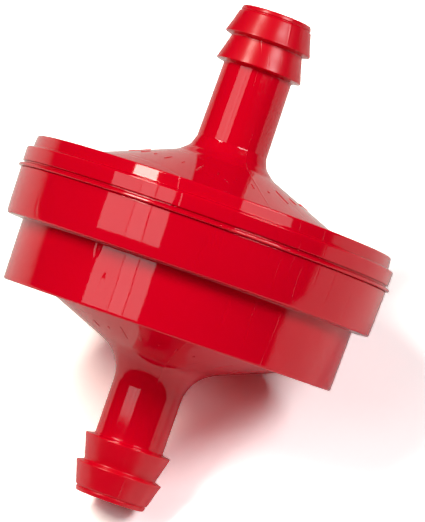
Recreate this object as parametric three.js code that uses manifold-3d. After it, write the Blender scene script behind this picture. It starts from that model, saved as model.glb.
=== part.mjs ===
// In-line fuel filter for a small engine, in millimetres, +Z up along the flow.
// Fuel enters the barbed nozzle at the top, crosses the screen and leaves by
// the barbed nozzle at the bottom. The origin is the centre of the outlet
// nozzle's end face.
//
// Pieces: inlet_cover and outlet_body are the two moulded halves, weld_bead is
// the ring of plastic that joins them, and screen_frame holds screen_mesh.

import * as THREE from 'three';
import { mergeVertices } from 'three/addons/utils/BufferGeometryUtils.js';
import Module from 'manifold-3d';

const wasm = await Module();
wasm.setup();

// ---- driving dimensions, mm -------------------------------------------------

const TOTAL_LENGTH = 53.9;
const WALL = 1.5;
const TURNS = 64; // facets round the axis

// barbed nozzles: both ends share one barb outline
const BORE_R = 2.5;
const BORE_CHAMFER = 0.25;
const TIP_R = 3.65;
const TIP_LEAD_R = 3.85;
const TIP_LEAD = 0.4;
const BARB_R = 4.7;
const NECK_R = 3.9;
const STEM_R = 3.76;
const FIRST_BARB = 3.1; // from the end face to the widest part
const FIRST_NECK = 3.35;
const SECOND_BARB = 6.1;
const STEM_START = 6.3;

// both cones have the same slope; each is fixed by one point on its outside
const CONE_SLOPE = THREE.MathUtils.degToRad(22);
const INLET_CONE = { r: 6.82, z: 36.7 };
const OUTLET_CONE = { r: 8.04, z: 16.65 };
const INLET_FILLET = 2.1;
const OUTLET_FILLET = 4.0;
const INLET_STEM_BASE_R = 3.88;

// inlet cover: rim, flange and the skirt that enters the body
const RIM_TOP = 33.7;
const RIM_R = 19.75;
const RIM_INNER_R = 17.8;
const FLANGE_TOP = 32.45;
const FLANGE_BOTTOM = 30.75;
const FLANGE_R = 20.35;
const SKIRT_R = 18.45;
const SKIRT_INNER_R = 17.2;
const SKIRT_BOTTOM = 29.15;

// outlet body: wide band, step and lower band, with a ledge at the step
const BODY_RIM = 30.1;
const WIDE_TOP_R = 20.27;
const WIDE_BOTTOM_R = 20.07;
const STEP_Z = 25.05;
const BAND_TOP_R = 18.3;
const BAND_BOTTOM_R = 18.15;
const BAND_BOTTOM = 18.38;
const BAND_LIP_R = 16.95;
const CONE_FOOT_R = 16.6;
const SOCKET_R = 18.75;
const CUP_R = 16.7;
const EDGE = 0.25; // broken edges

// weld bead in the seam
const BEAD_R = 20.65;
const BEAD_INNER_R = 19.0;
const SEAM_GAP = 0.1;

// screen
const FRAME_BOTTOM = STEP_Z + WALL + 0.1;
const FRAME_HEIGHT = 2.2;
const FRAME_R = SKIRT_R;
const RIB_HEIGHT = 0.95;
const RIB_WIDTH = 1.2;
const RIB_COUNT = 6;
const HUB_R = 2.2;
const HOOP_R = 9.5;
const HOOP_WIDTH = 1.1;
const SLOT_R = 17.8;
const SLOT_LOW = 1.05;
const SLOT_HIGH = 1.55;
const CLOTH_R = 17.5;
const CLOTH_THICKNESS = 0.2;

// ---- colours ----------------------------------------------------------------

const RED = 0xd0001c;
const WELD_RED = 0xc8001a;
const NATURAL = 0xe9e4d4;
const CLOTH = 0xf2f0e8;

// ---- shape helpers ----------------------------------------------------------

// outside of a cone at radius r; rise is -1 where it falls away from the axis
const coneZ = (cone, rise, r) => cone.z + rise * Math.tan(CONE_SLOPE) * (r - cone.r);

// the same cone's inside, one wall thickness in
const innerConeZ = (cone, rise, r) => coneZ(cone, rise, r) + (rise * WALL) / Math.cos(CONE_SLOPE);

// points of a circular arc, centre (r, z), from angle a to angle b
function arc(r, z, radius, a, b, steps) {
  const points = [];
  for (let i = 0; i <= steps; i += 1) {
    const angle = a + ((b - a) * i) / steps;
    points.push([r + radius * Math.cos(angle), z + radius * Math.sin(angle)]);
  }
  return points;
}

// fillet between a stem of radius stemR and a cone, from the stem to the cone
function stemFillet(cone, rise, stemR, radius, steps) {
  const r = stemR + radius;
  const z = coneZ(cone, rise, r) - (rise * radius) / Math.cos(CONE_SLOPE);
  const end = Math.PI - rise * (Math.PI / 2 - CONE_SLOPE);
  return arc(r, z, radius, Math.PI, end, steps);
}

// barbed end, from the bore to the stem, as [radius, distance from the end face]
function barbOutline() {
  return [
    [BORE_R, BORE_CHAMFER],
    [BORE_R + BORE_CHAMFER, 0],
    [TIP_R, 0],
    [TIP_LEAD_R, TIP_LEAD],
    [BARB_R, FIRST_BARB],
    [NECK_R, FIRST_NECK],
    [BARB_R, SECOND_BARB],
    [STEM_R, STEM_START],
  ];
}

// a ring turned from a closed outline of [radius, z] points, seen anticlockwise
function turned(outline) {
  const points = [...outline, outline[0]].map(([r, z]) => new THREE.Vector2(r, z));
  const geometry = new THREE.LatheGeometry(points, TURNS);
  geometry.rotateX(Math.PI / 2);
  return geometry;
}

// a disc from its outline, which starts and ends on the axis
function disc(radius, bottom, top) {
  const outline = [[0, bottom], [radius, bottom], [radius, top], [0, top]];
  const geometry = new THREE.LatheGeometry(outline.map(([r, z]) => new THREE.Vector2(r, z)), TURNS);
  geometry.rotateX(Math.PI / 2);
  return geometry;
}

function toSolid(geometry) {
  const bare = geometry.clone();
  bare.deleteAttribute('normal');
  bare.deleteAttribute('uv');
  const merged = mergeVertices(bare);
  const mesh = new wasm.Mesh({
    numProp: 3,
    vertProperties: merged.attributes.position.array,
    triVerts: Uint32Array.from(merged.index.array),
  });
  return new wasm.Manifold(mesh);
}

function fromSolid(solid) {
  const { vertProperties, triVerts } = solid.getMesh();
  const geometry = new THREE.BufferGeometry();
  geometry.setAttribute('position', new THREE.BufferAttribute(vertProperties, 3));
  geometry.setIndex(new THREE.BufferAttribute(triVerts, 1));
  geometry.computeVertexNormals();
  return geometry;
}

function piece(name, geometry, color, roughness) {
  const material = new THREE.MeshStandardMaterial({ color, roughness, metalness: 0 });
  const mesh = new THREE.Mesh(geometry, material);
  mesh.name = name;
  return mesh;
}

// ---- outlet body ------------------------------------------------------------

function outletBody() {
  const stem = stemFillet(OUTLET_CONE, 1, STEM_R, OUTLET_FILLET, 8);
  return turned([
    ...barbOutline(),
    ...stem,
    [CONE_FOOT_R, coneZ(OUTLET_CONE, 1, CONE_FOOT_R)],
    [BAND_LIP_R, BAND_BOTTOM],
    [BAND_BOTTOM_R - EDGE, BAND_BOTTOM],
    [BAND_BOTTOM_R, BAND_BOTTOM + EDGE],
    [BAND_TOP_R, STEP_Z],
    [WIDE_BOTTOM_R - EDGE, STEP_Z],
    [WIDE_BOTTOM_R, STEP_Z + EDGE],
    [WIDE_TOP_R, BODY_RIM - EDGE],
    [WIDE_TOP_R - EDGE, BODY_RIM],
    [SOCKET_R, BODY_RIM],
    [SOCKET_R, STEP_Z + WALL],
    [CUP_R, STEP_Z + WALL],
    [CUP_R, innerConeZ(OUTLET_CONE, 1, CUP_R)],
    [BORE_R, innerConeZ(OUTLET_CONE, 1, BORE_R)],
  ]);
}

// ---- inlet cover ------------------------------------------------------------

function inletCover() {
  const barb = barbOutline().map(([r, depth]) => [r, TOTAL_LENGTH - depth]);
  const stem = stemFillet(INLET_CONE, -1, INLET_STEM_BASE_R, INLET_FILLET, 6);
  return turned([
    [BORE_R, innerConeZ(INLET_CONE, -1, BORE_R)],
    [SKIRT_INNER_R, innerConeZ(INLET_CONE, -1, SKIRT_INNER_R)],
    [SKIRT_INNER_R, SKIRT_BOTTOM],
    [SKIRT_R, SKIRT_BOTTOM],
    [SKIRT_R, FLANGE_BOTTOM],
    [FLANGE_R, FLANGE_BOTTOM],
    [FLANGE_R, FLANGE_TOP],
    [RIM_R, FLANGE_TOP],
    [RIM_R, RIM_TOP - EDGE],
    [RIM_R - EDGE, RIM_TOP],
    [RIM_INNER_R + EDGE, RIM_TOP],
    [RIM_INNER_R, coneZ(INLET_CONE, -1, RIM_INNER_R)],
    ...stem.reverse(),
    ...barb.reverse(),
  ]);
}

// ---- weld bead --------------------------------------------------------------

function weldBead() {
  const low = BODY_RIM + SEAM_GAP;
  const high = FLANGE_BOTTOM - SEAM_GAP;
  const half = (high - low) / 2;
  const crown = arc(BEAD_R - half, low + half, half, -Math.PI / 2, Math.PI / 2, 6);
  return turned([[BEAD_INNER_R, low], ...crown, [BEAD_INNER_R, high]]);
}

// ---- screen -----------------------------------------------------------------

// outer ring with a slot for the cloth, and ribs under it that the flow presses it on to
function screenFrame() {
  const top = FRAME_BOTTOM + FRAME_HEIGHT;
  const ribTop = FRAME_BOTTOM + RIB_HEIGHT;
  const ring = turned([
    [CUP_R, FRAME_BOTTOM],
    [FRAME_R, FRAME_BOTTOM],
    [FRAME_R, top],
    [CUP_R, top],
    [CUP_R, FRAME_BOTTOM + SLOT_HIGH],
    [SLOT_R, FRAME_BOTTOM + SLOT_HIGH],
    [SLOT_R, FRAME_BOTTOM + SLOT_LOW],
    [CUP_R, FRAME_BOTTOM + SLOT_LOW],
  ]);
  const hoop = turned([
    [HOOP_R - HOOP_WIDTH / 2, FRAME_BOTTOM],
    [HOOP_R + HOOP_WIDTH / 2, FRAME_BOTTOM],
    [HOOP_R + HOOP_WIDTH / 2, ribTop],
    [HOOP_R - HOOP_WIDTH / 2, ribTop],
  ]);
  let solid = toSolid(ring).add(toSolid(hoop));
  solid = solid.add(toSolid(disc(HUB_R, FRAME_BOTTOM, ribTop)));
  const reach = CUP_R + 0.5; // each rib runs a little way into the ring
  for (let i = 0; i < RIB_COUNT; i += 1) {
    const rib = new THREE.BoxGeometry(reach, RIB_WIDTH, RIB_HEIGHT);
    rib.translate(reach / 2, 0, FRAME_BOTTOM + RIB_HEIGHT / 2);
    rib.rotateZ((i * 2 * Math.PI) / RIB_COUNT);
    solid = solid.add(toSolid(rib));
  }
  return fromSolid(solid);
}

function screenMesh() {
  const middle = FRAME_BOTTOM + (SLOT_LOW + SLOT_HIGH) / 2;
  return disc(CLOTH_R, middle - CLOTH_THICKNESS / 2, middle + CLOTH_THICKNESS / 2);
}

// ---- assembly ---------------------------------------------------------------

const filter = new THREE.Group();
filter.add(piece('outlet_body', outletBody(), RED, 0.2));
filter.add(piece('inlet_cover', inletCover(), RED, 0.2));
filter.add(piece('weld_bead', weldBead(), WELD_RED, 0.25));
filter.add(piece('screen_frame', screenFrame(), NATURAL, 0.45));
filter.add(piece('screen_mesh', screenMesh(), CLOTH, 0.7));

export default filter;
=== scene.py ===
"""In-line fuel filter for a small engine: the looks, built round its fixed frame.

Two glossy red mouldings meet at a weld bead, with a hose barb at each end and a
woven screen inside. Lengths are metres in the script, and millimetres times MM.
"""

import math

import bmesh
import bpy
from mathutils import Matrix, Vector, noise


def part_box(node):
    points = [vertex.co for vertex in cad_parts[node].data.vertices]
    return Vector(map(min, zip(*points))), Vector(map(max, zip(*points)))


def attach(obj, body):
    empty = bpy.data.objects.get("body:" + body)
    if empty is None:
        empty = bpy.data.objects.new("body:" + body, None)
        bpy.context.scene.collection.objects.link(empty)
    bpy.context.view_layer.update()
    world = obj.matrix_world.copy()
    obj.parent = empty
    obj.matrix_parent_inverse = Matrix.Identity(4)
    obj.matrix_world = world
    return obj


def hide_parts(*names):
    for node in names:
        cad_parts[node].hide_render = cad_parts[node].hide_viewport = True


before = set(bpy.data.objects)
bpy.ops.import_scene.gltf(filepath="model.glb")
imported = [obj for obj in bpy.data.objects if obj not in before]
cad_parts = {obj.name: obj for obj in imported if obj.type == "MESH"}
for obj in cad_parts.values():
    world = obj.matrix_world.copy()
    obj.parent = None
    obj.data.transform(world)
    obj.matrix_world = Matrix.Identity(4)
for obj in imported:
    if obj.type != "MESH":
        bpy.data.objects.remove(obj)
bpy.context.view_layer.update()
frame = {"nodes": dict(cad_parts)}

bl_info = {
    "name": "Fuel Filter",
    "version": (1, 0, 0),
    "blender": (4, 5, 0),
    "location": "View3D > Sidebar > Fuel Filter",
    "description": "Builds an in-line fuel filter and the table it lies on",
    "category": "Add Mesh",
}

MM = 0.001

# ---- places that the frame fixes -------------------------------------------------

BODY_LOW, BODY_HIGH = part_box("outlet_body")
COVER_LOW, COVER_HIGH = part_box("inlet_cover")
BEAD_LOW, BEAD_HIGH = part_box("weld_bead")
FRAME_LOW, FRAME_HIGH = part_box("screen_frame")
CLOTH_LOW, CLOTH_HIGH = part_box("screen_mesh")
TIP_Z = COVER_HIGH.z
BEAD_R = BEAD_HIGH.x
FLANGE_R = COVER_HIGH.x
WIDE_R = BODY_HIGH.x
SOCKET_FLOOR_GAP = 0.1 * MM  # the screen frame's seat is this far below it

# ---- directions round the axis ---------------------------------------------------

VIEW_AZIMUTH = math.radians(45)
TOWARDS_VIEWER = Vector((math.sin(VIEW_AZIMUTH), -math.cos(VIEW_AZIMUTH), 0))
VIEWER_RIGHT = Vector((math.cos(VIEW_AZIMUTH), math.sin(VIEW_AZIMUTH), 0))
UP = Vector((0, 0, 1))


def side_direction(turn):
    """The level direction that is turned to the viewer's right by turn."""
    return TOWARDS_VIEWER * math.cos(turn) + VIEWER_RIGHT * math.sin(turn)


# ---- sizes and colours a user would change ---------------------------------------


def linear(code):
    """An sRGB hex colour as linear red, green, blue and alpha."""
    parts = [int(code[i:i + 2], 16) / 255 for i in (0, 2, 4)]
    bent = [c / 12.92 if c <= 0.04045 else ((c + 0.055) / 1.055) ** 2.4 for c in parts]
    return (*bent, 1.0)


def length(name, description, millimetres):
    """A length property with its default given in millimetres."""
    return bpy.props.FloatProperty(
        name=name,
        description=description,
        default=millimetres * MM,
        min=0,
        precision=5,
        subtype="DISTANCE",
        unit="LENGTH",
    )


def colour(name, description, code):
    """A colour property with its default given as an sRGB hex code."""
    return bpy.props.FloatVectorProperty(
        name=name,
        description=description,
        default=linear(code),
        size=4,
        min=0,
        max=1,
        subtype="COLOR",
    )


class FilterSizes(bpy.types.PropertyGroup):
    """Outside and wall sizes of the filter."""

    bore: length("Bore", "Radius of the bore through each nozzle", 2.5)
    tip: length("Tip", "Radius of each nozzle at its end face", 3.65)
    barb: length("Barb", "Radius at the widest part of each hose barb", 4.7)
    neck: length("Neck", "Radius between the two barbs", 3.9)
    stem: length("Stem", "Radius of the plain nozzle behind the barbs", 3.76)
    stem_base: length("Stem base", "Radius of the inlet nozzle where it meets the cone", 3.88)
    wall: length("Wall", "Thickness of the moulded walls", 1.5)
    inlet_fillet: length("Inlet fillet", "Radius between the inlet nozzle and its cone", 2.1)
    outlet_fillet: length("Outlet fillet", "Radius between the outlet nozzle and its cone", 4.0)
    mark_height: length("Mark height", "How far the moulded marks stand up", 0.06)
    thread_pitch: length("Thread pitch", "Spacing of the screen's threads", 0.9)
    thread: length("Thread", "Diameter of the screen's threads", 0.16)
    cone_slope: bpy.props.FloatProperty(
        name="Cone slope",
        description="Slope of both cones from the flat",
        default=math.radians(22),
        subtype="ANGLE",
        unit="ROTATION",
    )


class FilterColours(bpy.types.PropertyGroup):
    """Colours of the filter's plastics and of the table."""

    housing: colour("Housing", "Red of the two mouldings", "d6001f")
    housing_deep: colour("Housing, deep", "Red where the colour is densest", "c8001c")
    weld: colour("Weld", "Red of the melted bead", "d2001f")
    frame: colour("Screen frame", "Natural nylon of the screen's frame", "e4dcc6")
    cloth: colour("Screen", "White nylon of the woven screen", "f0eee6")
    table: colour("Table", "White of the table top", "f6f6f6")


# ---- outlines and solids of revolution -------------------------------------------

ARC_STEP = math.radians(11)
RUN_STEP = 0.55 * MM
SUPPORT = 0.1 * MM


def rounded(corners):
    """A dense closed outline from corners (radius, height, rounding), all in metres."""
    points = [Vector(c[:2]) for c in corners]
    count = len(points)
    bends = []
    for i, corner in enumerate(corners):
        here, before, after = points[i], points[i - 1], points[(i + 1) % count]
        back, onward = before - here, after - here
        turn = math.pi - back.angle(onward)
        reach = min(corner[2] * math.tan(turn / 2), 0.45 * min(back.length, onward.length))
        steps = max(2, math.ceil(turn / ARC_STEP))
        if reach < 1e-7:
            bends.append([here])
            continue
        back.normalize()
        onward.normalize()
        radius = reach / math.tan(turn / 2)
        centre = here + (back + onward).normalized() * (radius / math.cos(turn / 2))
        start = here + back * reach - centre
        sign = 1 if back.cross(onward) < 0 else -1
        bends.append([
            centre + Matrix.Rotation(sign * turn * k / steps, 2) @ start for k in range(steps + 1)
        ])
    outline = []
    for i, bend in enumerate(bends):
        outline += bend
        outline += straight_run(bend[-1], bends[(i + 1) % count][0])
    return outline


def straight_run(start, end):
    """Points strictly between start and end, with one close to each end."""
    way = end - start
    if way.length < 3 * SUPPORT:
        return []
    near = SUPPORT / way.length
    steps = max(1, round(way.length / RUN_STEP))
    places = [near + (1 - 2 * near) * k / steps for k in range(steps + 1)]
    return [start + way * t for t in places]


def around(count, lines=()):
    """Angles round the axis, evenly spaced, with more of them beside each line."""
    angles = [2 * math.pi * k / count for k in range(count)]
    beside = [math.radians(a) for a in (0, 0.2, 0.4, 0.7, 1.1, 1.7, 2.6)]
    for line in lines:
        clear = [a for a in angles if abs(math.remainder(a - line, 2 * math.pi)) > beside[-1] * 1.2]
        offsets = [-b for b in beside[1:]] + beside
        angles = clear + [(line + b) % (2 * math.pi) for b in offsets]
    return sorted(angles)


def revolved(name, outline, angles):
    """A mesh turned from an outline; the outline may start and end on the axis."""
    bm = bmesh.new()
    on_axis = outline[0].x < 1e-9
    rings = []
    for point in outline:
        if point.x < 1e-9:
            rings.append([bm.verts.new((0, 0, point.y))] * len(angles))
            continue
        rings.append([
            bm.verts.new((point.x * math.cos(a), point.x * math.sin(a), point.y)) for a in angles
        ])
    pairs = list(zip(rings, rings[1:])) if on_axis else list(zip(rings, rings[1:] + rings[:1]))
    for low, high in pairs:
        for k in range(len(angles)):
            j = (k + 1) % len(angles)
            corners = [low[k], low[j], high[j], high[k]]
            bm.faces.new(list(dict.fromkeys(corners)))
    return finished_mesh(name, bm)


def finished_mesh(name, bm):
    """An object in the scene from a bmesh, with its faces pointing out."""
    bmesh.ops.recalc_face_normals(bm, faces=bm.faces)
    mesh = bpy.data.meshes.new(name)
    bm.to_mesh(mesh)
    bm.free()
    obj = bpy.data.objects.new(name, mesh)
    bpy.context.scene.collection.objects.link(obj)
    return obj


def smooth(obj, crease=math.radians(38)):
    """Smooth shading that keeps edges sharper than crease."""
    obj.data.shade_smooth()
    obj.data.set_sharp_from_angle(angle=crease)


def tube(bm, path, radius, sides):
    """A round tube along a path, with its ends shut."""
    rings = []
    for i, point in enumerate(path):
        before = path[max(i - 1, 0)]
        after = path[min(i + 1, len(path) - 1)]
        along = (after - before).normalized()
        across = along.cross(UP).normalized()
        over = across.cross(along)
        turns = [2 * math.pi * k / sides for k in range(sides)]
        rings.append([
            bm.verts.new(point + (across * math.cos(t) + over * math.sin(t)) * radius)
            for t in turns
        ])
    for low, high in zip(rings, rings[1:]):
        for k in range(sides):
            j = (k + 1) % sides
            bm.faces.new((low[k], low[j], high[j], high[k]))
    bm.faces.new(rings[0][::-1])
    bm.faces.new(rings[-1])


def joined(obj, others):
    """Melts other closed meshes into obj, and removes them."""
    for other in others:
        union = obj.modifiers.new("union", "BOOLEAN")
        union.operation = "UNION"
        union.solver = "MANIFOLD"
        union.object = other
    graph = bpy.context.evaluated_depsgraph_get()
    mesh = bpy.data.meshes.new_from_object(obj.evaluated_get(graph))
    obj.modifiers.clear()
    obj.data = mesh
    for other in others:
        bpy.data.objects.remove(other)
    if not mesh.polygons:
        raise RuntimeError(f"{obj.name}: the union came out empty")
    return obj


# ---- the shape of the mouldings --------------------------------------------------

# one point on the outside of each cone, as (radius, height)
INLET_CONE = (6.82 * MM, 36.7 * MM)
OUTLET_CONE = (8.04 * MM, 16.65 * MM)

RIM_TOP = 33.7 * MM
RIM_R = 19.75 * MM
RIM_INNER_R = 17.8 * MM
FLANGE_TOP = 32.45 * MM
FLANGE_BOTTOM = 30.75 * MM
SKIRT_R = 18.45 * MM
SKIRT_INNER_R = 17.2 * MM

STEP_Z = 25.05 * MM
BAND_BOTTOM = 18.38 * MM
BAND_TOP_R = 18.3 * MM
BAND_BOTTOM_R = 18.15 * MM
BAND_LIP_R = 16.95 * MM
CONE_FOOT_R = 16.6 * MM
WIDE_BOTTOM_R = 20.07 * MM
SOCKET_R = 18.75 * MM
CUP_R = 16.7 * MM

# each mould's two halves leave a fine raised line on opposite sides of the cone, and
# rough flash on the barb next to the end face
INLET_PARTING = math.radians(25)
OUTLET_PARTING = math.radians(10)
PARTING_START = 13 * MM  # from each end face
PARTING_WIDTH = 0.07 * MM
PARTING_HEIGHT = 0.02 * MM
FLASH_HEIGHT = 0.07 * MM
FLASH_REACH = 2.9 * MM
FLASH_BREAK = 1.3 * MM

BARB_REACH = 6.25 * MM
BARB_RIPPLE = 0.04 * MM
BARB_RIPPLE_SIZE = 1.5 * MM
WALL_WAVE = 0.02 * MM
WALL_WAVE_SIZE = 6.5 * MM


def cone_z(sizes, point, rise, r):
    """Height of a cone's outside at radius r; rise is 1 if it climbs outwards, else -1."""
    return point[1] + rise * math.tan(sizes.cone_slope) * (r - point[0])


def inner_cone_z(sizes, point, rise, r):
    """Height of the same cone's inside, one wall thickness in."""
    return cone_z(sizes, point, rise, r) + rise * sizes.wall / math.cos(sizes.cone_slope)


def barb_corners(sizes):
    """The hose barb from its bore to its stem, as (radius, depth, rounding)."""
    return [
        (sizes.bore, 0, 0.25 * MM),
        (sizes.tip + 0.08 * MM, 0, 0.15 * MM),
        (sizes.tip + 0.2 * MM, 0.42 * MM, 0.1 * MM),
        (sizes.tip + 0.1 * MM, 0.52 * MM, 0.05 * MM),
        (sizes.tip + 0.3 * MM, 0.68 * MM, 0.1 * MM),
        (sizes.barb, 3.1 * MM, 0.09 * MM),
        (sizes.neck, 3.35 * MM, 0.14 * MM),
        (sizes.barb, 6.1 * MM, 0.09 * MM),
        (sizes.stem, 6.3 * MM, 0.2 * MM),
    ]


def outlet_corners(sizes):
    """Outline of the outlet body, anticlockwise from its bore's outer end."""
    return [
        *barb_corners(sizes),
        (sizes.stem, cone_z(sizes, OUTLET_CONE, 1, sizes.stem), sizes.outlet_fillet),
        (CONE_FOOT_R, cone_z(sizes, OUTLET_CONE, 1, CONE_FOOT_R), 0.4 * MM),
        (BAND_LIP_R, BAND_BOTTOM, 0.25 * MM),
        (BAND_BOTTOM_R, BAND_BOTTOM, 0.25 * MM),
        (BAND_TOP_R, STEP_Z, 0.2 * MM),
        (WIDE_BOTTOM_R, STEP_Z, 0.22 * MM),
        (WIDE_BOTTOM_R + 0.1 * MM, STEP_Z + 1.1 * MM, 12 * MM),
        (WIDE_R, BODY_HIGH.z, 0.12 * MM),
        (SOCKET_R, BODY_HIGH.z, 0.15 * MM),
        (SOCKET_R, FRAME_LOW.z - SOCKET_FLOOR_GAP, 0.2 * MM),
        (CUP_R, FRAME_LOW.z - SOCKET_FLOOR_GAP, 0.25 * MM),
        (CUP_R, inner_cone_z(sizes, OUTLET_CONE, 1, CUP_R), 0.6 * MM),
        (sizes.bore, inner_cone_z(sizes, OUTLET_CONE, 1, sizes.bore), 0.5 * MM),
    ]


# the inlet's flare, as fractions of its fillet's radius
FLARE_OUT = 0.68
FLARE_RISE = 0.67
FLARE_KNEE_OUT = 0.18
FLARE_KNEE_DROP = 0.53


def flare_corners(sizes):
    """The flare between the inlet's cone and its stem, which starts at a crisp line."""
    foot = sizes.stem_base
    reach = sizes.inlet_fillet
    outer = foot + FLARE_OUT * reach
    line = cone_z(sizes, INLET_CONE, -1, foot) + FLARE_RISE * reach
    return [
        (outer, cone_z(sizes, INLET_CONE, -1, outer), 0.8 * reach),
        (foot + FLARE_KNEE_OUT * reach, line - FLARE_KNEE_DROP * reach, 0.6 * reach),
        (foot, line, 0.12 * MM),
    ]


def inlet_corners(sizes):
    """Outline of the inlet cover, anticlockwise from its bore's inner end."""
    barb = [(r, TIP_Z - depth, rounding) for r, depth, rounding in barb_corners(sizes)]
    return [
        (sizes.bore, inner_cone_z(sizes, INLET_CONE, -1, sizes.bore), 0.5 * MM),
        (SKIRT_INNER_R, inner_cone_z(sizes, INLET_CONE, -1, SKIRT_INNER_R), 0.5 * MM),
        (SKIRT_INNER_R, COVER_LOW.z, 0.2 * MM),
        (SKIRT_R, COVER_LOW.z, 0.3 * MM),
        (SKIRT_R, FLANGE_BOTTOM, 0.1 * MM),
        (FLANGE_R - 0.03 * MM, FLANGE_BOTTOM, 0.1 * MM),
        (FLANGE_R, FLANGE_TOP - 0.16 * MM, 0.16 * MM),
        (RIM_R, FLANGE_TOP, 0.1 * MM),
        (RIM_R - 0.1 * MM, RIM_TOP, 0.22 * MM),
        (RIM_INNER_R + 0.25 * MM, RIM_TOP, 0.3 * MM),
        (RIM_INNER_R, cone_z(sizes, INLET_CONE, -1, RIM_INNER_R), 0.35 * MM),
        *flare_corners(sizes),
        *reversed(barb),
    ]


def azimuth_of(direction):
    """The angle round the axis of a level direction."""
    return math.atan2(direction.y, direction.x) % (2 * math.pi)


def ridge_height(place, end):
    """How high the parting line stands at a place that is end away from its end face."""
    if end < FLASH_REACH:
        return FLASH_HEIGHT * max(0.0, 0.4 + noise.noise(place / FLASH_BREAK))
    if end > PARTING_START and math.hypot(place.x, place.y) < CUP_R:
        return PARTING_HEIGHT
    return 0.0


def weather(obj, lines, inside):
    """Gives a moulding its parting lines, rippled barbs and slightly wavy walls.

    inside tells from a radius and a height whether a place is on a hidden inner face.
    """
    normals = [vertex.normal.copy() for vertex in obj.data.vertices]
    for vertex, normal in zip(obj.data.vertices, normals):
        place = vertex.co
        r = math.hypot(place.x, place.y)
        if inside(r, place.z):
            continue
        out = Vector((place.x, place.y, 0)) / r
        end = min(place.z, TIP_Z - place.z)
        azimuth = math.atan2(place.y, place.x)
        off_line = min(abs(math.remainder(azimuth - line, 2 * math.pi)) for line in lines) * r
        ridge = ridge_height(place, end) * math.exp(-((off_line / PARTING_WIDTH) ** 2))
        wave = WALL_WAVE * noise.noise(place / WALL_WAVE_SIZE)
        if end < BARB_REACH:
            wave += BARB_RIPPLE * noise.noise(place / BARB_RIPPLE_SIZE)
        vertex.co = place + normal * ridge + out * wave


# ---- moulded marks ---------------------------------------------------------------

MARK_RING_R = 9.3 * MM
MARK_STROKE = 0.1 * MM
MARK_COUNT = 30
MARK_LENGTHS = {"long": 2.2 * MM, "short": 0.99 * MM, "dot": 0.308 * MM, "gap": 0}
MARK_STEPS = 6


def moulded_marks(name, sizes, cone, rise, kinds):
    """A plain graduation: a ring of radial ticks half sunk in a cone, as closed tubes."""
    bm = bmesh.new()
    sink = MARK_STROKE - sizes.mark_height
    for k in range(MARK_COUNT):
        middle = 2 * math.pi * k / MARK_COUNT
        tall = MARK_LENGTHS[kinds[k % len(kinds)]]
        if not tall:
            continue
        path = []
        for step in range(MARK_STEPS + 1):
            r = MARK_RING_R - tall * (step / MARK_STEPS - 0.5) * rise
            z = cone_z(sizes, cone, rise, r) + rise * sink
            path.append(Vector((r * math.cos(middle), r * math.sin(middle), z)))
        tube(bm, path, MARK_STROKE, sides=10)
    return finished_mesh(name, bm)


# ---- materials -------------------------------------------------------------------


def add_node(tree, kind, inputs=None, **settings):
    """Adds a node with its settings; inputs maps sockets to values or to other sockets."""
    made = tree.nodes.new(kind)
    for name, value in settings.items():
        setattr(made, name, value)
    for socket, value in (inputs or {}).items():
        if isinstance(value, bpy.types.NodeSocket):
            tree.links.new(value, made.inputs[socket])
        else:
            made.inputs[socket].default_value = value
    return made


def new_material(name):
    """An empty node material and its tree."""
    material = bpy.data.materials.new(name)
    material.use_nodes = True
    material.node_tree.nodes.clear()
    return material, material.node_tree


# A pattern's scale is the number of its features in a metre.
FLOW_SIZE = 14 * MM
PEEL_SIZE = 0.45 * MM
SCUFF_SIZE = 2.2 * MM
SCRATCH_LENGTH = 7 * MM
SCRATCH_WIDTH = 0.09 * MM

POLISHED = 0.03  # roughness of the mould's polished walls
SATIN = 0.26  # and of its barbs
BEAD_SKIN = 0.06
RED_NYLON_IOR = 1.48
NYLON_IOR = 1.53


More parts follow.
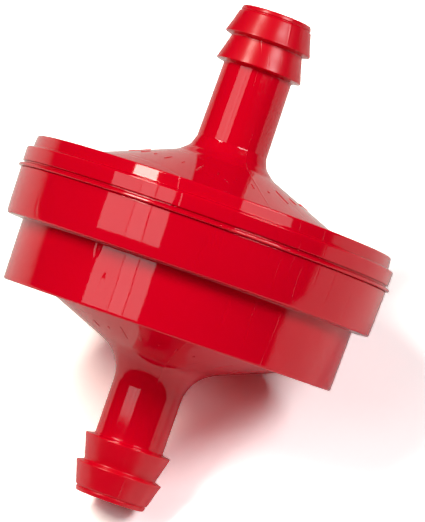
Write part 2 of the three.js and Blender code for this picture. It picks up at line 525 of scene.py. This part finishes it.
def moulded_nylon(name, deep, bright, gloss, satin):
    """Injection-moulded red nylon from a polished mould.

    The eye sees a wet-looking skin over dense colour, with faint orange peel, a few
    handling scratches, and a satin skin on the barbs, where the mould isn't polished.
    """
    material, tree = new_material(name)
    where = add_node(tree, "ShaderNodeTexCoord").outputs["Object"]

    flow = add_node(tree, "ShaderNodeTexNoise", {
        "Vector": where, "Scale": 1 / FLOW_SIZE, "Detail": 2.0, "Distortion": 0.6,
    })
    tint = add_node(tree, "ShaderNodeMix", {
        "Factor": flow.outputs["Fac"], "A": deep, "B": bright,
    }, data_type="RGBA")

    height = add_node(tree, "ShaderNodeSeparateXYZ", {"Vector": where}).outputs["Z"]
    inlet_end = add_node(tree, "ShaderNodeMapRange", {
        "Value": height,
        "From Min": TIP_Z - BARB_REACH, "From Max": TIP_Z - BARB_REACH + 0.3 * MM,
    }).outputs["Result"]
    outlet_end = add_node(tree, "ShaderNodeMapRange", {
        "Value": height, "From Min": BARB_REACH, "From Max": BARB_REACH - 0.3 * MM,
    }).outputs["Result"]
    barbs = add_node(tree, "ShaderNodeMath", {0: inlet_end, 1: outlet_end}, operation="MAXIMUM")

    scuffs = add_node(tree, "ShaderNodeTexNoise", {
        "Vector": where, "Scale": 1 / SCUFF_SIZE, "Detail": 5.0, "Roughness": 0.65,
    })
    skin = add_node(tree, "ShaderNodeMapRange", {
        "Value": scuffs.outputs["Fac"], "From Min": 0.35, "From Max": 0.75,
        "To Min": gloss, "To Max": gloss + 0.05,
    }).outputs["Result"]
    roughness = add_node(tree, "ShaderNodeMix", {
        "Factor": barbs.outputs[0], "A": skin, "B": satin,
    }).outputs["Result"]

    peel = add_node(tree, "ShaderNodeTexNoise", {
        "Vector": where, "Scale": 1 / PEEL_SIZE, "Detail": 1.0,
    }).outputs["Fac"]
    peel_bump = add_node(tree, "ShaderNodeBump", {
        "Height": peel, "Strength": 0.05, "Distance": 0.02 * MM,
    })
    scratch_height = None
    for turn in (0.6, -0.9, 2.3):
        turned = add_node(tree, "ShaderNodeMapping", {
            "Vector": where,
            "Rotation": (turn, turn * 0.7, turn * 1.3),
            "Scale": (1 / SCRATCH_LENGTH, 1 / SCRATCH_WIDTH / 6, 1 / SCRATCH_LENGTH),
        })
        streaks = add_node(tree, "ShaderNodeTexNoise", {
            "Vector": turned.outputs["Vector"], "Scale": 1.0, "Detail": 0.0,
        }).outputs["Fac"]
        line = add_node(tree, "ShaderNodeMapRange", {
            "Value": streaks, "From Min": 0.77, "From Max": 0.82,
        }, interpolation_type="SMOOTHSTEP").outputs["Result"]
        if scratch_height is None:
            scratch_height = line
        else:
            scratch_height = add_node(tree, "ShaderNodeMath", {
                0: scratch_height, 1: line,
            }, operation="MAXIMUM").outputs[0]
    bump = add_node(tree, "ShaderNodeBump", {
        "Height": scratch_height, "Strength": 0.35, "Distance": 0.03 * MM,
        "Normal": peel_bump.outputs["Normal"],
    }, invert=True)

    shader = add_node(tree, "ShaderNodeBsdfPrincipled", {
        "Base Color": tint.outputs["Result"],
        "Roughness": roughness,
        "IOR": RED_NYLON_IOR,
        "Subsurface Weight": 0.25,
        "Subsurface Radius": (1.0, 0.12, 0.1),
        "Subsurface Scale": 1.2 * MM,
        "Normal": bump.outputs["Normal"],
    })
    add_node(tree, "ShaderNodeOutputMaterial", {"Surface": shader.outputs["BSDF"]})
    return material


def natural_nylon(name, tint):
    """Unpigmented moulded nylon: a milky ivory with a waxy, satin skin."""
    material, tree = new_material(name)
    where = add_node(tree, "ShaderNodeTexCoord").outputs["Object"]
    cloud = add_node(tree, "ShaderNodeTexNoise", {
        "Vector": where, "Scale": 1 / (3 * MM), "Detail": 3.0,
    }).outputs["Fac"]
    shade = add_node(tree, "ShaderNodeMix", {
        "Factor": cloud, "A": tint, "B": tuple(c * 0.92 for c in tint[:3]) + (1.0,),
    }, data_type="RGBA")
    grain = add_node(tree, "ShaderNodeTexNoise", {
        "Vector": where, "Scale": 1 / (0.15 * MM), "Detail": 2.0,
    }).outputs["Fac"]
    bump = add_node(tree, "ShaderNodeBump", {
        "Height": grain, "Strength": 0.2, "Distance": 0.01 * MM,
    })
    roughness = add_node(tree, "ShaderNodeMapRange", {
        "Value": cloud, "To Min": 0.36, "To Max": 0.5,
    }).outputs["Result"]
    shader = add_node(tree, "ShaderNodeBsdfPrincipled", {
        "Base Color": shade.outputs["Result"],
        "Roughness": roughness,
        "IOR": NYLON_IOR,
        "Subsurface Weight": 0.3,
        "Subsurface Radius": (1.0, 0.9, 0.7),
        "Subsurface Scale": 0.5 * MM,
        "Normal": bump.outputs["Normal"],
    })
    add_node(tree, "ShaderNodeOutputMaterial", {"Surface": shader.outputs["BSDF"]})
    return material


def nylon_thread(name, tint):
    """Drawn nylon monofilament: smooth bright threads, a little see-through."""
    material, tree = new_material(name)
    where = add_node(tree, "ShaderNodeTexCoord").outputs["Object"]
    streak = add_node(tree, "ShaderNodeTexNoise", {
        "Vector": where, "Scale": 1 / (0.4 * MM), "Detail": 2.0,
    }).outputs["Fac"]
    shade = add_node(tree, "ShaderNodeMix", {
        "Factor": streak, "A": tint, "B": tuple(c * 0.9 for c in tint[:3]) + (1.0,),
    }, data_type="RGBA")
    roughness = add_node(tree, "ShaderNodeMapRange", {
        "Value": streak, "To Min": 0.22, "To Max": 0.34,
    }).outputs["Result"]
    shader = add_node(tree, "ShaderNodeBsdfPrincipled", {
        "Base Color": shade.outputs["Result"],
        "Roughness": roughness,
        "IOR": NYLON_IOR,
        "Transmission Weight": 0.2,
    })
    add_node(tree, "ShaderNodeOutputMaterial", {"Surface": shader.outputs["BSDF"]})
    return material


TABLE_GLARE = 2.1  # how far the table is overexposed where it is seen directly
TABLE_SHEEN = 0.75  # and how bright it is in the filter's own reflections


def table_laminate(name, tint):
    """Matt white laminate under strong light: only a soft shadow is left on it.

    It is clear from underneath, so that the filter can be seen from every side.
    """
    material, tree = new_material(name)
    where = add_node(tree, "ShaderNodeTexCoord").outputs["Object"]
    mottle = add_node(tree, "ShaderNodeTexNoise", {
        "Vector": where, "Scale": 1 / (5 * MM), "Detail": 3.0,
    }).outputs["Fac"]
    shade = add_node(tree, "ShaderNodeMix", {
        "Factor": mottle, "A": tint, "B": tuple(c * 0.985 for c in tint[:3]) + (1.0,),
    }, data_type="RGBA").outputs["Result"]
    rays = add_node(tree, "ShaderNodeLightPath")
    strength = add_node(tree, "ShaderNodeMath", {
        0: rays.outputs["Is Camera Ray"], 1: TABLE_GLARE - 1, 2: 1.0,
    }, operation="MULTIPLY_ADD").outputs[0]
    strength = add_node(tree, "ShaderNodeMath", {
        0: rays.outputs["Is Glossy Ray"], 1: TABLE_SHEEN - 1, 2: strength,
    }, operation="MULTIPLY_ADD").outputs[0]
    lit = add_node(tree, "ShaderNodeVectorMath", {0: shade, "Scale": strength},
                   operation="SCALE").outputs["Vector"]
    matt = add_node(tree, "ShaderNodeBsdfDiffuse", {"Color": lit})
    clear = add_node(tree, "ShaderNodeBsdfTransparent")
    underside = add_node(tree, "ShaderNodeNewGeometry").outputs["Backfacing"]
    both = add_node(tree, "ShaderNodeMixShader", {
        0: underside, 1: matt.outputs["BSDF"], 2: clear.outputs["BSDF"],
    })
    add_node(tree, "ShaderNodeOutputMaterial", {"Surface": both.outputs["Shader"]})
    return material


def finish_piece(obj, material, node):
    """Gives a piece its material and its place in the frame."""
    obj.data.materials.clear()
    obj.data.materials.append(material)
    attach(obj, "root")
    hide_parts(node)


# ---- one operator for each piece -------------------------------------------------

SHELL_TURNS = 208


def parting_lines(turn):
    """The two angles round the axis where a moulding's parting lines run."""
    first = azimuth_of(side_direction(turn))
    return [first, (first + math.pi) % (2 * math.pi)]


class FUELFILTER_OT_outlet_body(bpy.types.Operator):
    """Makes the lower moulding: stepped bands, cone and barbed outlet nozzle"""

    bl_idname = "fuel_filter.outlet_body"
    bl_label = "Outlet Body"

    def execute(self, context):
        sizes = context.scene.filter_sizes
        colours = context.scene.filter_colours
        lines = parting_lines(OUTLET_PARTING)
        body = revolved("outlet_body_moulding", rounded(outlet_corners(sizes)),
                        around(SHELL_TURNS, lines))
        weather(body, lines, lambda r, z: r < sizes.bore + 0.5 * MM or (
            z > inner_cone_z(sizes, OUTLET_CONE, 1, r) - 0.3 * MM and r < SOCKET_R + 0.1 * MM))
        marks = moulded_marks("outlet_marks", sizes, OUTLET_CONE, 1,
                              ("long", "short", "gap", "gap", "gap", "gap", "gap", "short",
                               "dot", "long", "short", "dot", "short", "dot", "gap"))
        joined(body, [marks])
        smooth(body)
        red = moulded_nylon("moulded_red_nylon_body", colours.housing_deep, colours.housing,
                            POLISHED, SATIN)
        finish_piece(body, red, "outlet_body")
        return {"FINISHED"}


class FUELFILTER_OT_inlet_cover(bpy.types.Operator):
    """Makes the upper moulding: flange, rim, cone and barbed inlet nozzle"""

    bl_idname = "fuel_filter.inlet_cover"
    bl_label = "Inlet Cover"

    def execute(self, context):
        sizes = context.scene.filter_sizes
        colours = context.scene.filter_colours
        lines = parting_lines(INLET_PARTING)
        cover = revolved("inlet_cover_moulding", rounded(inlet_corners(sizes)),
                         around(SHELL_TURNS, lines))
        weather(cover, lines, lambda r, z: r < sizes.bore + 0.5 * MM or (
            z < inner_cone_z(sizes, INLET_CONE, -1, r) + 0.3 * MM and r < SKIRT_R + 0.1 * MM))
        marks = moulded_marks("inlet_marks", sizes, INLET_CONE, -1,
                              ("long", "short", "dot", "short", "dot"))
        joined(cover, [marks])
        smooth(cover)
        red = moulded_nylon("moulded_red_nylon_cover", colours.housing_deep, colours.housing,
                            POLISHED, SATIN)
        finish_piece(cover, red, "inlet_cover")
        return {"FINISHED"}


class FUELFILTER_OT_weld_bead(bpy.types.Operator):
    """Makes the ring of melted plastic that stands proud in the seam"""

    bl_idname = "fuel_filter.weld_bead"
    bl_label = "Weld Bead"

    SWELL = 0.05 * MM
    SWELL_SIZE = 5 * MM

    def execute(self, context):
        low = BODY_HIGH.z + 0.01 * MM
        high = FLANGE_BOTTOM - 0.01 * MM
        inner = 19.0 * MM
        root = 20.1 * MM
        outline = rounded([
            (inner, low, 0.05 * MM),
            (WIDE_R - 0.05 * MM, low, 0.05 * MM),
            (BEAD_R, low + 0.08 * MM, 0.12 * MM),
            (BEAD_R - 0.05 * MM, low + 0.34 * MM, 0.12 * MM),
            (root, high - 0.16 * MM, 0.08 * MM),
            (root, high, 0.02 * MM),
            (inner, high, 0.05 * MM),
        ])
        bead = revolved("weld_bead_ring", outline, around(SHELL_TURNS))
        for vertex in bead.data.vertices:
            place = vertex.co
            r = math.hypot(place.x, place.y)
            proud = max(0.0, (r - WIDE_R) / (BEAD_R - WIDE_R))
            swell = self.SWELL * proud * (noise.noise(place / self.SWELL_SIZE) - 0.6)
            vertex.co = place + Vector((place.x, place.y, 0)) / r * swell
        smooth(bead)
        colours = context.scene.filter_colours
        red = moulded_nylon("melted_red_nylon", colours.housing_deep, colours.weld,
                            BEAD_SKIN, BEAD_SKIN)
        finish_piece(bead, red, "weld_bead")
        return {"FINISHED"}


class FUELFILTER_OT_screen_frame(bpy.types.Operator):
    """Makes the ribbed ring that holds the screen"""

    bl_idname = "fuel_filter.screen_frame"
    bl_label = "Screen Frame"

    RIB_COUNT = 6
    RIB_HEIGHT = 0.95 * MM
    RIB_WIDTH = 1.2 * MM
    HUB_R = 2.2 * MM
    HOOP_R = 9.5 * MM
    HOOP_WIDTH = 1.1 * MM
    SLOT_LOW = 1.05 * MM
    SLOT_HIGH = 1.55 * MM
    SLOT_R = 17.8 * MM

    def rib(self, turn):
        """One rib with rounded edges, from the hub into the ring."""
        bm = bmesh.new()
        reach = CUP_R + 0.5 * MM
        bmesh.ops.create_cube(bm, size=1)
        bmesh.ops.scale(bm, verts=bm.verts, vec=(reach, self.RIB_WIDTH, self.RIB_HEIGHT))
        middle = (reach / 2, 0, FRAME_LOW.z + self.RIB_HEIGHT / 2)
        bmesh.ops.translate(bm, verts=bm.verts, vec=middle)
        bmesh.ops.bevel(bm, geom=bm.edges[:], offset=0.15 * MM, segments=4, affect="EDGES",
                        profile=0.5)
        bmesh.ops.rotate(bm, verts=bm.verts, cent=(0, 0, 0), matrix=Matrix.Rotation(turn, 3, "Z"))
        return finished_mesh("rib", bm)

    def execute(self, context):
        low = FRAME_LOW.z
        high = FRAME_HIGH.z
        soft = 0.12 * MM
        ring = revolved("screen_frame_ring", rounded([
            (CUP_R, low, soft),
            (FRAME_HIGH.x, low, soft),
            (FRAME_HIGH.x, high, 2 * soft),
            (CUP_R, high, 2 * soft),
            (CUP_R, low + self.SLOT_HIGH, soft),
            (self.SLOT_R, low + self.SLOT_HIGH, soft / 2),
            (self.SLOT_R, low + self.SLOT_LOW, soft / 2),
            (CUP_R, low + self.SLOT_LOW, soft),
        ]), around(160))
        top = low + self.RIB_HEIGHT
        inner, outer = self.HOOP_R - self.HOOP_WIDTH / 2, self.HOOP_R + self.HOOP_WIDTH / 2
        hoop = revolved("hoop", rounded([
            (inner, low, soft), (outer, low, soft), (outer, top, soft), (inner, top, soft),
        ]), around(120))
        hub_edge = rounded([(0, low, 0), (self.HUB_R, low, soft), (self.HUB_R, top, soft),
                            (0, top, 0)])
        last = max(i for i, p in enumerate(hub_edge) if p.y > top - 1e-9)
        hub = revolved("hub", hub_edge[:last + 1], around(64))
        ribs = [self.rib(2 * math.pi * k / self.RIB_COUNT) for k in range(self.RIB_COUNT)]
        joined(ring, [hoop, hub, *ribs])
        smooth(ring)
        ivory = natural_nylon("moulded_natural_nylon", context.scene.filter_colours.frame)
        finish_piece(ring, ivory, "screen_frame")
        return {"FINISHED"}


class FUELFILTER_OT_screen_mesh(bpy.types.Operator):
    """Weaves the nylon screen; its threads are drawn coarser than real ones so they show"""

    bl_idname = "fuel_filter.screen_mesh"
    bl_label = "Screen"

    def execute(self, context):
        sizes = context.scene.filter_sizes
        pitch = sizes.thread_pitch
        radius = CLOTH_HIGH.x
        middle = (CLOTH_LOW.z + CLOTH_HIGH.z) / 2
        lift = sizes.thread * 0.52
        count = int(radius / pitch)
        bm = bmesh.new()
        for crossing in (0, 1):
            for k in range(-count, count + 1):
                across = k * pitch
                half = math.sqrt(radius ** 2 - across ** 2)
                steps = max(2, round(half / (pitch / 4)))
                path = []
                for i in range(-steps, steps + 1):
                    along = half * i / steps
                    phase = math.pi * (along / pitch + k + crossing)
                    z = middle + lift * math.cos(phase)
                    place = (across, along, z) if crossing else (along, across, z)
                    path.append(Vector(place))
                tube(bm, path, sizes.thread / 2, sides=6)
        cloth = finished_mesh("screen_weave", bm)
        smooth(cloth, math.radians(60))
        white = nylon_thread("drawn_nylon_thread", context.scene.filter_colours.cloth)
        finish_piece(cloth, white, "screen_mesh")
        return {"FINISHED"}


# ---- table, lights and camera ----------------------------------------------------

# The filter lies on the lower band's edge and on the outlet nozzle's end.
TABLE_TURN = math.radians(-20)  # how far the table's upward side faces left of the viewer
TABLE_SIZE = 3.0
OUTLET_TIP_R = 3.65 * MM

EYE_DISTANCE = 340 * MM
EYE_HEIGHT = 18.8 * MM
AIM_HEIGHT = 27.3 * MM
AIM_RIGHT = 2.0 * MM
LEAN = math.radians(19.16)
LENS = 223


def direction(turn, rise):
    """A direction seen from the filter: turned to the viewer's right, and raised."""
    level = side_direction(math.radians(turn))
    return level * math.cos(math.radians(rise)) + UP * math.sin(math.radians(rise))


def table_normal():
    """Normal of the table that touches the lower band's edge and the outlet's end."""
    across = BAND_BOTTOM_R - OUTLET_TIP_R
    level = side_direction(TABLE_TURN)
    return (level * BAND_BOTTOM + UP * across).normalized()


class FUELFILTER_OT_stage(bpy.types.Operator):
    """Sets the table, the lights and the camera"""

    bl_idname = "fuel_filter.stage"
    bl_label = "Stage"

    LIGHT_DISTANCE = 0.45
    LIGHT_AIM = UP * 0.026

    def panel_light(self, name, turn, rise, width, height, radiance, tint="ffffff"):
        """A soft panel that faces the filter; width and height are angles seen from it."""
        away = direction(turn, rise)
        wide = 2 * self.LIGHT_DISTANCE * math.tan(math.radians(width) / 2)
        tall = 2 * self.LIGHT_DISTANCE * math.tan(math.radians(height) / 2)
        data = bpy.data.lights.new(name, "AREA")
        data.shape = "RECTANGLE"
        data.size = wide
        data.size_y = tall
        data.energy = radiance * math.pi * wide * tall
        data.color = linear(tint)[:3]
        light = bpy.data.objects.new(name, data)
        bpy.context.scene.collection.objects.link(light)
        light.location = self.LIGHT_AIM + away * self.LIGHT_DISTANCE
        across = UP.cross(away).normalized()
        turn_matrix = Matrix((across, away.cross(across), away)).transposed()
        light.rotation_euler = turn_matrix.to_euler()
        light.visible_camera = False

    def execute(self, context):
        scene = context.scene
        normal = table_normal()
        touch = side_direction(TABLE_TURN) * -OUTLET_TIP_R
        bm = bmesh.new()
        bmesh.ops.create_grid(bm, x_segments=8, y_segments=8, size=TABLE_SIZE / 2)
        table = finished_mesh("table", bm)
        for face in table.data.polygons:
            if face.normal.z < 0:
                table.data.flip_normals()
                break
        table.rotation_mode = "QUATERNION"
        table.rotation_quaternion = normal.to_track_quat("Z", "Y")
        table.location = touch
        table.data.materials.append(table_laminate("matt_white_laminate",
                                                   scene.filter_colours.table))

        self.panel_light("window_left", -51.5, 3, 18.6, 14, 2.2)
        self.panel_light("window_middle", -37, 3, 9.6, 14, 2.6)
        self.panel_light("window_right", -26.2, 3, 10.6, 14, 2.3)
        self.panel_light("key_left", -44, 24, 16, 27, 19.5, "fff8ea")
        self.panel_light("pane_right", 33, 12.5, 32, 6, 2.2)
        self.panel_light("key_right", 33, 30, 24, 18, 12.0)
        self.panel_light("back_fill", 180, 20, 60, 60, 0.5)

        world = bpy.data.worlds.new("studio")
        scene.world = world
        world.use_nodes = True
        tree = world.node_tree
        tree.nodes.clear()
        rays = add_node(tree, "ShaderNodeLightPath")
        room = add_node(tree, "ShaderNodeBackground", {"Color": (1, 1, 1, 1), "Strength": 0.02})
        dark = add_node(tree, "ShaderNodeBackground", {"Color": (1, 1, 1, 1), "Strength": 0.01})
        paper = add_node(tree, "ShaderNodeBackground", {"Color": (1, 1, 1, 1), "Strength": 1.1})
        shine = add_node(tree, "ShaderNodeMixShader", {
            0: rays.outputs["Is Glossy Ray"], 1: room.outputs[0], 2: dark.outputs[0],
        })
        seen = add_node(tree, "ShaderNodeMixShader", {
            0: rays.outputs["Is Camera Ray"], 1: shine.outputs[0], 2: paper.outputs[0],
        })
        add_node(tree, "ShaderNodeOutputWorld", {"Surface": seen.outputs[0]})

        camera = bpy.data.objects.new("camera", bpy.data.cameras.new("camera"))
        scene.collection.objects.link(camera)
        camera.data.lens = LENS
        camera.data.clip_start = 0.01
        camera.data.clip_end = 20
        camera.location = TOWARDS_VIEWER * EYE_DISTANCE + UP * EYE_HEIGHT
        aim = VIEWER_RIGHT * AIM_RIGHT + UP * AIM_HEIGHT
        forward = (aim - camera.location).normalized()
        right = forward.cross(UP).normalized()
        above = right.cross(forward)
        leaned_right = right * math.cos(LEAN) + above * math.sin(LEAN)
        leaned_above = above * math.cos(LEAN) - right * math.sin(LEAN)
        turn_matrix = Matrix((leaned_right, leaned_above, -forward)).transposed()
        camera.rotation_euler = turn_matrix.to_euler()
        scene.camera = camera
        scene.view_settings.view_transform = "Standard"
        return {"FINISHED"}


class FUELFILTER_PT_panel(bpy.types.Panel):
    """Lists the filter's sizes, colours and pieces"""

    bl_label = "Fuel Filter"
    bl_idname = "FUELFILTER_PT_panel"
    bl_space_type = "VIEW_3D"
    bl_region_type = "UI"
    bl_category = "Fuel Filter"

    def draw(self, context):
        layout = self.layout
        for group in (context.scene.filter_sizes, context.scene.filter_colours):
            box = layout.box()
            for name in group.__annotations__:
                box.prop(group, name)
        for operator in OPERATORS:
            layout.operator(operator.bl_idname)


OPERATORS = (
    FUELFILTER_OT_outlet_body,
    FUELFILTER_OT_inlet_cover,
    FUELFILTER_OT_weld_bead,
    FUELFILTER_OT_screen_frame,
    FUELFILTER_OT_screen_mesh,
    FUELFILTER_OT_stage,
)
CLASSES = (FilterSizes, FilterColours, *OPERATORS, FUELFILTER_PT_panel)


def register():
    for cls in CLASSES:
        bpy.utils.register_class(cls)
    bpy.types.Scene.filter_sizes = bpy.props.PointerProperty(type=FilterSizes)
    bpy.types.Scene.filter_colours = bpy.props.PointerProperty(type=FilterColours)


def unregister():
    del bpy.types.Scene.filter_colours
    del bpy.types.Scene.filter_sizes
    for cls in reversed(CLASSES):
        bpy.utils.unregister_class(cls)


def main():
    """Registers the add-on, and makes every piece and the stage."""
    register()
    bpy.ops.fuel_filter.outlet_body()
    bpy.ops.fuel_filter.inlet_cover()
    bpy.ops.fuel_filter.weld_bead()
    bpy.ops.fuel_filter.screen_frame()
    bpy.ops.fuel_filter.screen_mesh()
    bpy.ops.fuel_filter.stage()


if __name__ == "__main__":
    main()
